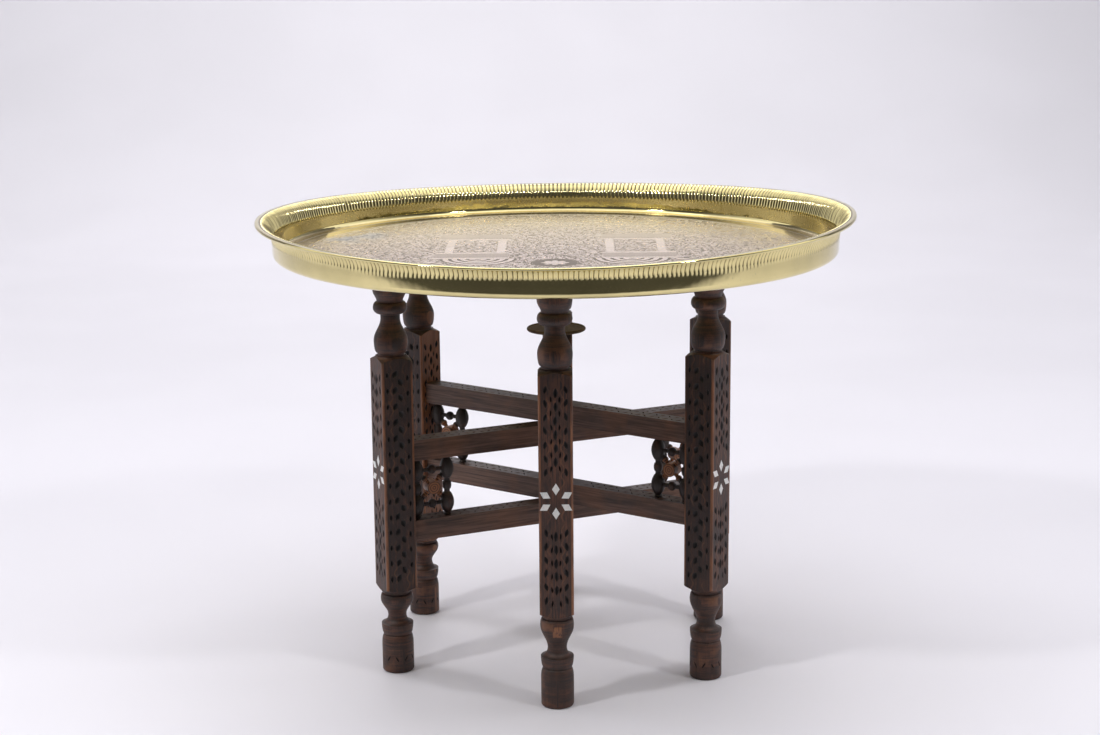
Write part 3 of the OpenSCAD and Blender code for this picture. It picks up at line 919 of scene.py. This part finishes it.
def carved_wood(wood, name, bare_patch=False, bare_inside=False):
    """Dark stained wood worn to orange on the edges, with painted shade: nearly black in the
    pits and notches, darker on the side faces and along the incised lines.
    """
    finish = Finish(name)
    place = finish.own("place")
    sunk = finish.own("sunk", "Fac")
    x, y, z = finish.split(place)
    half, wide, narrow = LEG_HALF, abs(x).most(abs(y)), abs(x).least(abs(y))

    own = finish.place()
    grain = finish.noise(finish.stretched(own, (1.0, 1.0, 0.05)), 620.0, 4.0, 0.6, 0.4)
    figure = finish.noise(finish.stretched(own, (1.0, 1.0, 0.22)), 90.0, 3.0)
    patch = finish.noise(own, 38.0, 3.0)
    fine = finish.noise(own, 900.0, 2.0)

    # long grain on the squares, and the marks of the lathe elsewhere
    on_square = wide.within(half - 0.6 * MM, half + 0.6 * MM, 0.1 * MM)
    lathe = finish.noise(finish.stretched(place, (0.06, 0.06, 1.0)), 480.0, 4.0, 0.65)
    streak = lathe + (grain - lathe) * (0.25 + 0.75 * on_square)
    # painted shade: the two side faces of each square are darkened
    painted_side_shade = abs(y).rise(half - 0.8 * MM, half - 0.3 * MM) * on_square

    # worn ridges between the pits, and the line along each edge, which is darkened as painted
    # shade
    bend = (z * (FULL_TURN / wood.pit_pitch)).cosine()
    crest = narrow - (RIDGE_AT + RIDGE_SWAY * bend)
    ridge = abs(crest).rise(1.5 * MM, 0.4 * MM) * on_square
    cut = abs(narrow - BORDER_LINE).rise(0.7 * MM, 0.3 * MM) * on_square
    corner = narrow.rise(half - 4.2 * MM, half - 1.2 * MM) * on_square
    belly = span(x, y).rise(17.6 * MM, 19.0 * MM) * (1 - on_square)
    rubbed = figure.rise(0.36, 0.60)
    wear = (corner * (0.20 + 0.80 * rubbed)).most(belly * patch.rise(0.50, 0.66) * 0.5)
    wear = wear.most(ridge * patch.rise(0.40, 0.64) * 0.30)
    wear = wear.most(patch.rise(0.60, 0.74) * grain.rise(0.4, 0.6) * 0.40)
    if bare_patch:  # a knock that took the stain off above the foot
        spot = y.within(-4.5 * MM, 5.5 * MM, 0.8 * MM) * z.within(84 * MM, 97 * MM, MM)
        wear = wear.most(spot * x.above(0.0) * grain.rise(0.35, 0.50))
    if bare_inside:
        inner = x.rise(2.0 * MM - half, 0.5 * MM - half) * on_square
        wear = wear.most(inner * (0.6 + 0.4 * figure.rise(0.35, 0.60)))
    body = finish.coats(
        wood.dark,
        (wood.stain, streak.rise(0.30, 0.68)),
        (wood.dark, figure.rise(0.48, 0.72) * 0.6),
        # painted shade on the side faces
        (wood.dark, painted_side_shade * 0.55),
        (wood.dark, patch.rise(0.50, 0.38) * 0.45),
        (wood.bare, wear * 0.8),
        (wood.dust, fine.rise(0.45, 0.75) * 0.06),
        # painted shade along the incised line
        (wood.dark, cut * 0.6),
        # painted shade: nearly black in the pits and the notches of the foot
        (shaded(wood.dark, 0.25), sunk.rise(0.02, 0.3)),
    )

    normal = finish.bump(streak * 0.8 - cut + ridge * 0.7, 0.5, 0.35 * MM)
    rough = 0.42 + 0.25 * streak + 0.3 * sunk - 0.08 * wear
    return finish.surface(Base_Color=body, Roughness=rough, Normal=normal,
                          Coat_Weight=0.06, Coat_Roughness=0.35)


def make_legs(wood):
    """Carves the six legs."""
    plain = carved_wood(wood, "Carved wood")
    special = {
        "front": carved_wood(wood, "Carved wood with a bare patch", bare_patch=True),
        "back_left": carved_wood(wood, "Carved wood bare inside", bare_inside=True),
    }
    recipe, pit = pit_rows(), new_piece("pit", pit_shape())
    for place, name in enumerate(LEGS):
        material = special.get(name, plain)
        mesh = carved_leg_mesh(name, wood, recipe, pit, 100 * place, material)
        finish_piece("carved_leg_" + name, mesh, material, "leg_" + name)
    bpy.data.objects.remove(pit)


# ---------------- rails

CARVED_FROM, CARVED_TO = 42 * MM, 188 * MM  # from the middle of the rail
RAIL_PITCH, RAIL_PIT_ACROSS, RAIL_PIT_DEPTH = 9.2 * MM, 5.2 * MM, 1.8 * MM


def rail_turn(level):
    """Direction of the rails of one frame, from +X."""
    low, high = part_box("leg_" + BACK_LEG[level])
    return math.atan2(low.y + high.y, low.x + high.x)


def rail_wood(wood, name, turn):
    """Brown satin wood with its grain along the rail and worn arrises, with painted shade on
    the upward faces and in the pits.
    """
    finish = Finish(name)
    own, sunk = finish.along(turn), finish.own("sunk", "Fac")
    y = finish.split(own)[1]
    grain = finish.noise(finish.stretched(own, (0.035, 1.0, 1.0)), 520.0, 4.0, 0.62, 0.5)
    figure = finish.noise(finish.stretched(own, (0.10, 1.0, 1.0)), 110.0, 3.0, 0.5, 0.6)
    patch = finish.noise(own, 22.0, 3.0)
    edge = abs(y).rise(10.4 * MM, 11.9 * MM)
    wear = (edge * patch.rise(0.45, 0.62) * 0.22).most(patch.rise(0.66, 0.78) * 0.15)
    body = finish.coats(
        shaded(wood.rail, 0.40),
        (wood.rail, grain.rise(0.34, 0.66)),
        (wood.dark, figure.rise(0.52, 0.70) * 0.55),
        (wood.bare, wear),
        # painted shade: the faces that point upwards are darkened
        (wood.dark, finish.facing_up().rise(0.5, 0.9) * 0.45),
        # painted shade: nearly black in the pits
        (shaded(wood.dark, 0.4), sunk.rise(0.04, 0.5)),
    )
    normal = finish.bump(grain * 0.7 + figure * 0.3, 0.5, 0.3 * MM)
    return finish.surface(Base_Color=body, Roughness=0.46 + 0.2 * grain, Normal=normal,
                          Coat_Weight=0.08, Coat_Roughness=0.4)


def carved_rail_mesh(node, turn, recipe, pit, seed, material):
    """The rail with slanting chips in its top, and what its material reads."""
    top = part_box(node)[1].z
    rows = []
    for start, stop in ((-CARVED_TO, -CARVED_FROM), (CARVED_FROM, CARVED_TO)):
        rows += leaning_pair(start, stop, RAIL_PITCH, RAIL_PIT_ACROSS, RAIL_PIT, 0.75)
    cutters = chip_cutters(node + ".chips", rows, recipe, pit, top, RAIL_PIT_DEPTH,
                           seed, material)
    lie_down = Matrix.Rotation(-math.pi / 2, 4, "Y")
    cutters.transform(Matrix.Rotation(turn, 4, "Z") @ lie_down)
    carved = carve(merged_copy(node), cutters, "carved_" + node)
    x, y, z = points_of(carved).T
    c, s = math.cos(turn), math.sin(turn)
    along, across = abs(x * c + y * s), abs(y * c - x * s)
    on_top = (along < CARVED_TO) & (along > CARVED_FROM - MM) & (across < 11.5 * MM)
    sunk = np.where(on_top, (top - z) / RAIL_PIT_DEPTH, 0.0)
    # how deep each point lies in a pit; the material paints shade from this
    store(carved, "sunk", "FLOAT", np.where(sunk > 1.2, 0.0, np.clip(sunk, 0, 1)))
    smooth(carved, SMOOTH_BELOW)
    return carved


def make_rails(wood):
    """Carves the six rails."""
    recipe, pit = pit_rows(), new_piece("pit", pit_shape())
    for place, level in enumerate(LEVELS):
        turn = rail_turn(level)
        material = rail_wood(wood, "Rail wood " + level, turn)
        for tier in ("upper", "lower"):
            node = f"{tier}_rail_{level}"
            mesh = carved_rail_mesh(node, turn, recipe, pit, 700 + 50 * place, material)
            finish_piece("carved_" + node, mesh, material, node)
    bpy.data.objects.remove(pit)


# ---------------- lattices

HUB_RINGS, TURNING_PITCH = 2200.0, 1.3 * MM  # radians a metre; height of one lathe mark


def lattice_wood(wood, name, turn, hub=None):
    """Dark turned wood; round the hub, at (along, up), the stain is worn off."""
    finish = Finish(name)
    own = finish.along(turn)
    x, _, z = finish.split(own)
    grain = finish.noise(finish.stretched(own, (1.0, 1.0, 0.08)), 700.0, 4.0, 0.6, 0.3)
    patch = finish.noise(own, 60.0, 3.0)
    grey = [wood.dark[0] * 2.2, wood.dark[1] * 3.4, wood.dark[2] * 4.0]
    body = finish.coats(wood.dark, (grey, grain.rise(0.32, 0.70)),
                        (wood.stain, patch.rise(0.50, 0.72) * 0.5))
    if hub:
        reach = span(abs(x) - hub[0], z - hub[1])
        rings = (reach * HUB_RINGS + patch * 9.0).sine().rise(-0.2, 0.9)
        worn = finish.mix(shaded(wood.bare, 1.15), shaded(wood.bare, 0.35), rings)
        body = finish.mix(body, worn, reach.rise(17 * MM, 12 * MM) * 0.9)
    turning = (z * (FULL_TURN / TURNING_PITCH)).sine()
    normal = finish.bump(grain * 0.6 + turning * 0.15, 0.4, 0.25 * MM)
    return finish.surface(Base_Color=body, Roughness=0.40 + 0.25 * grain, Normal=normal,
                          Coat_Weight=0.10, Coat_Roughness=0.35)


def finish_lattices(wood):
    """Gives the spindles, links and the finial their wood."""
    plain = lattice_wood(wood, "Spindle wood", 0.0)
    for level, sides in SIDES.items():
        low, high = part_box("lattice_link_" + sides[0])
        middle = (low + high) / 2
        hub = (math.hypot(middle.x, middle.y), middle.z)
        worn = lattice_wood(wood, "Lattice wood " + level, rail_turn(level), hub)
        for side in sides:
            give(plain, "outer_spindle_" + side, "inner_spindle_" + side)
            give(worn, "lattice_link_" + side)
    give(plain, "pivot_finial")


# ---------------- pearl and metal


def mother_of_pearl(wood):
    """Mother-of-pearl with faint layers, a soft play of colour and grey seams."""
    finish = Finish("Mother of pearl")
    place = finish.place()
    layers = finish.noise(finish.stretched(place, (1.0, 1.0, 0.4)), 210.0, 3.0, 0.5, 1.5)
    flake = finish.noise(place, 120.0, 2.0)
    seams = abs(layers - 0.5).rise(0.012, 0.003)
    body = finish.coats(
        wood.pearl,
        ((0.60, 0.63, 0.60), layers.rise(0.50, 0.72)),
        ((0.86, 0.76, 0.74), flake.rise(0.52, 0.66) * 0.35),
        ((0.66, 0.76, 0.76), flake.rise(0.48, 0.36) * 0.30),
        ((0.35, 0.30, 0.26), seams * 0.35),
    )
    normal = finish.bump(layers, 0.25, 0.15 * MM)
    return finish.surface(Base_Color=body, Roughness=0.22 + 0.15 * layers, Normal=normal,
                          Coat_Weight=0.6, Coat_Roughness=0.12, IOR=1.6)


def dull_brass(settings):
    """Brass that has gone brown, with brighter rubbed places."""
    finish = Finish("Dull brass")
    place = finish.place()
    cloud = finish.noise(place, 45.0, 4.0)
    fine = finish.noise(place, 500.0, 3.0)
    body = finish.coats(
        settings.cap,
        (shaded(settings.cap, 2.1), cloud.rise(0.50, 0.75) * 0.7),
        (shaded(settings.cap, 0.3), fine.rise(0.50, 0.70) * 0.4),
    )
    normal = finish.bump(fine, 0.3, 0.12 * MM)
    return finish.surface(Base_Color=body, Metallic=0.6, Roughness=0.50 + 0.25 * fine,
                          Normal=normal)


def old_iron(wood):
    """Dull iron with a little brown rust."""
    finish = Finish("Old iron")
    place = finish.place()
    cloud = finish.noise(place, 120.0, 4.0)
    fine = finish.noise(place, 900.0, 2.0)
    body = finish.mix(wood.iron, (0.14, 0.055, 0.025), cloud.rise(0.50, 0.70) * 0.7)
    normal = finish.bump(fine, 0.4, 0.15 * MM)
    return finish.surface(Base_Color=body, Metallic=0.75, Roughness=0.45 + 0.25 * cloud,
                          Normal=normal)


# ---------------- stage


def paper_finish(stage):
    """Pale studio paper that gives way in front to a near-black colour, painted shade that
    stands in for the unlit room behind the camera.
    """
    finish = Finish("Studio paper")
    place = finish.place()
    y = finish.split(place)[1]
    soft = finish.noise(place, 1.4, 2.0)
    pale = finish.mix(stage.paper, shaded(stage.paper, 0.965), soft.rise(0.35, 0.65))
    # painted shade on the floor in front of the paper
    body = finish.mix(stage.painted_room_shade, pale, y.rise(-1.35, -0.7))
    return finish.surface(Base_Color=body, Roughness=0.85)


def make_sweep(stage):
    """Floor and backdrop in one sweep."""
    wide, front, back, bend, top = 9.0, -9.0, 5.0, 2.0, 6.0
    rows = [(front, 0.0), (-2.4, 0.0), (-0.9, 0.0), (back - bend, 0.0)]
    steps = 12
    for i in range(1, steps + 1):
        a = FULL_TURN / 4 * i / steps
        rows.append((back - bend + bend * math.sin(a), bend * (1 - math.cos(a))))
    rows.append((back, top))
    points = [(side * wide, y, z) for y, z in rows for side in (-1, 1)]
    faces = [(2 * i, 2 * i + 1, 2 * i + 3, 2 * i + 2) for i in range(len(rows) - 1)]
    mesh = mesh_from("studio_sweep", points, faces=faces)
    mesh.shade_smooth()
    mesh.materials.append(paper_finish(stage))
    sweep = new_piece("studio_sweep", mesh)


def add_lamp(name, azimuth, elevation, distance, size, power, aim=Vector((0.0, 0.0, 0.3))):
    """A round soft lamp; azimuth, elevation and distance are seen from what it lights."""
    lamp = bpy.data.lights.new(name, "AREA")
    lamp.shape = "DISK"
    lamp.size, lamp.energy = size, power
    a, e = math.radians(azimuth), math.radians(elevation)
    way = Vector((math.cos(a) * math.cos(e), math.sin(a) * math.cos(e), math.sin(e)))
    holder = bpy.data.objects.new(name, lamp)
    holder.location = aim + way * distance
    holder.rotation_mode = "QUATERNION"
    holder.rotation_quaternion = way.to_track_quat("Z", "Y")
    bpy.context.scene.collection.objects.link(holder)


def light_room():
    """Soft light from all round, bright behind the table and dim behind the camera."""
    world = bpy.data.worlds.new("Studio")
    world.use_nodes = True
    bpy.context.scene.world = world
    nodes = NodeMaker(world.node_tree)
    world.node_tree.nodes.clear()
    way = nodes.node("ShaderNodeTexCoord", output="Generated")
    _, y, z = nodes.split(way)
    dim, bright, low = 0.09, 1.40, 0.85
    level = (dim + bright * y.rise(-0.40, 0.45)) * (low + (1 - low) * z.rise(0.0, 0.7))
    light = nodes.node("ShaderNodeBackground", None,
                       {"Color": (0.96, 0.96, 1.0), "Strength": level})
    out = world.node_tree.nodes.new("ShaderNodeOutputWorld")
    world.node_tree.links.new(light.socket, out.inputs["Surface"])


def make_camera(stage):
    """Camera at the height and distance of a person sitting in front of the stand."""
    view = bpy.data.cameras.new("Camera")
    view.sensor_width = 36.0
    view.lens = stage.focal_widths * view.sensor_width
    view.clip_start, view.clip_end = 0.05, 60.0
    camera = bpy.data.objects.new("Camera", view)
    camera.rotation_mode = "QUATERNION"
    look = Matrix.Rotation(stage.yaw, 3, "Z") @ Matrix.Rotation(
        math.pi / 2 - stage.pitch, 3, "X") @ Matrix.Rotation(stage.roll, 3, "Z")
    camera.rotation_quaternion = look.to_quaternion()
    camera.location = stage.eye
    bpy.context.scene.collection.objects.link(camera)
    bpy.context.scene.camera = camera


def make_stage(stage):
    """Sweep, lamps and camera."""
    make_sweep(stage)
    light_room()
    add_lamp("left_lamp", 218, 42, 3.0, 0.24, 20)
    add_lamp("right_lamp", 322, 42, 3.0, 0.24, 14)
    add_lamp("ceiling_lamp", 240, 82, 3.4, 4.4, 54)
    add_lamp("backdrop_lamp", 270, 66, 3.2, 3.0, 104, aim=Vector((-0.3, 5.4, 1.0)))
    make_camera(stage)
    bpy.context.scene.view_settings.view_transform = "Standard"


# ---------------- add-on


class MakeTray(bpy.types.Operator):
    """Make the fluted brass tray with its chased floor"""

    bl_idname = "tray_stand.make_tray"
    bl_label = "Make the tray"

    def execute(self, context):
        make_tray(context.scene.tray_settings)
        return {"FINISHED"}


class CarveLegs(bpy.types.Operator):
    """Carve the six legs of the stand"""

    bl_idname = "tray_stand.carve_legs"
    bl_label = "Carve the legs"

    def execute(self, context):
        make_legs(context.scene.wood_settings)
        return {"FINISHED"}


class CarveRails(bpy.types.Operator):
    """Carve the tops of the six rails"""

    bl_idname = "tray_stand.carve_rails"
    bl_label = "Carve the rails"

    def execute(self, context):
        make_rails(context.scene.wood_settings)
        return {"FINISHED"}


class FinishLattices(bpy.types.Operator):
    """Finish the turned spindles, links and finial"""

    bl_idname = "tray_stand.finish_lattices"
    bl_label = "Finish the lattices"

    def execute(self, context):
        finish_lattices(context.scene.wood_settings)
        return {"FINISHED"}


class FinishStars(bpy.types.Operator):
    """Polish the mother-of-pearl stars"""

    bl_idname = "tray_stand.finish_stars"
    bl_label = "Finish the stars"

    def execute(self, context):
        pearl = mother_of_pearl(context.scene.wood_settings)
        give(pearl, *("star_" + name for name in LEGS))
        return {"FINISHED"}


class FinishPivot(bpy.types.Operator):
    """Finish the iron pivot and its brass cap"""

    bl_idname = "tray_stand.finish_pivot"
    bl_label = "Finish the pivot"

    def execute(self, context):
        iron = old_iron(context.scene.wood_settings)
        give(iron, "pivot_rod", "pivot_washer", "pivot_nut")
        give(dull_brass(context.scene.tray_settings), "pivot_cap")
        return {"FINISHED"}


class SetStage(bpy.types.Operator):
    """Set up the floor, the lamps and the camera"""

    bl_idname = "tray_stand.set_stage"
    bl_label = "Set the stage"

    def execute(self, context):
        make_stage(context.scene.stage_settings)
        return {"FINISHED"}


class TrayPanel(bpy.types.Panel):
    """Panel that lists the steps of making the tray and its stand"""

    bl_idname = "VIEW3D_PT_tray_stand"
    bl_label = "Tray on a stand"
    bl_space_type = "VIEW_3D"
    bl_region_type = "UI"
    bl_category = "Tray"

    def draw(self, context):
        for settings in ("tray_settings", "wood_settings", "stage_settings"):
            group = getattr(context.scene, settings)
            box = self.layout.box()
            for name in group.__annotations__:
                box.prop(group, name)
        for step in STEPS:
            self.layout.operator(step.bl_idname)


STEPS = (MakeTray, CarveLegs, CarveRails, FinishLattices, FinishStars, FinishPivot, SetStage)
GROUPS = {"tray_settings": TraySettings, "wood_settings": WoodSettings,
          "stage_settings": StageSettings}


def register():
    for group in GROUPS.values():
        bpy.utils.register_class(group)
    for step in (*STEPS, TrayPanel):
        bpy.utils.register_class(step)
    for name, group in GROUPS.items():
        setattr(bpy.types.Scene, name, bpy.props.PointerProperty(type=group))


def unregister():
    for name in GROUPS:
        delattr(bpy.types.Scene, name)
    for step in (TrayPanel, *reversed(STEPS)):
        bpy.utils.unregister_class(step)
    for group in GROUPS.values():
        bpy.utils.unregister_class(group)


def main():
    register()
    bpy.ops.tray_stand.make_tray()
    bpy.ops.tray_stand.carve_legs()
    bpy.ops.tray_stand.carve_rails()
    bpy.ops.tray_stand.finish_lattices()
    bpy.ops.tray_stand.finish_stars()
    bpy.ops.tray_stand.finish_pivot()
    bpy.ops.tray_stand.set_stage()


if __name__ == "__main__":
    main()
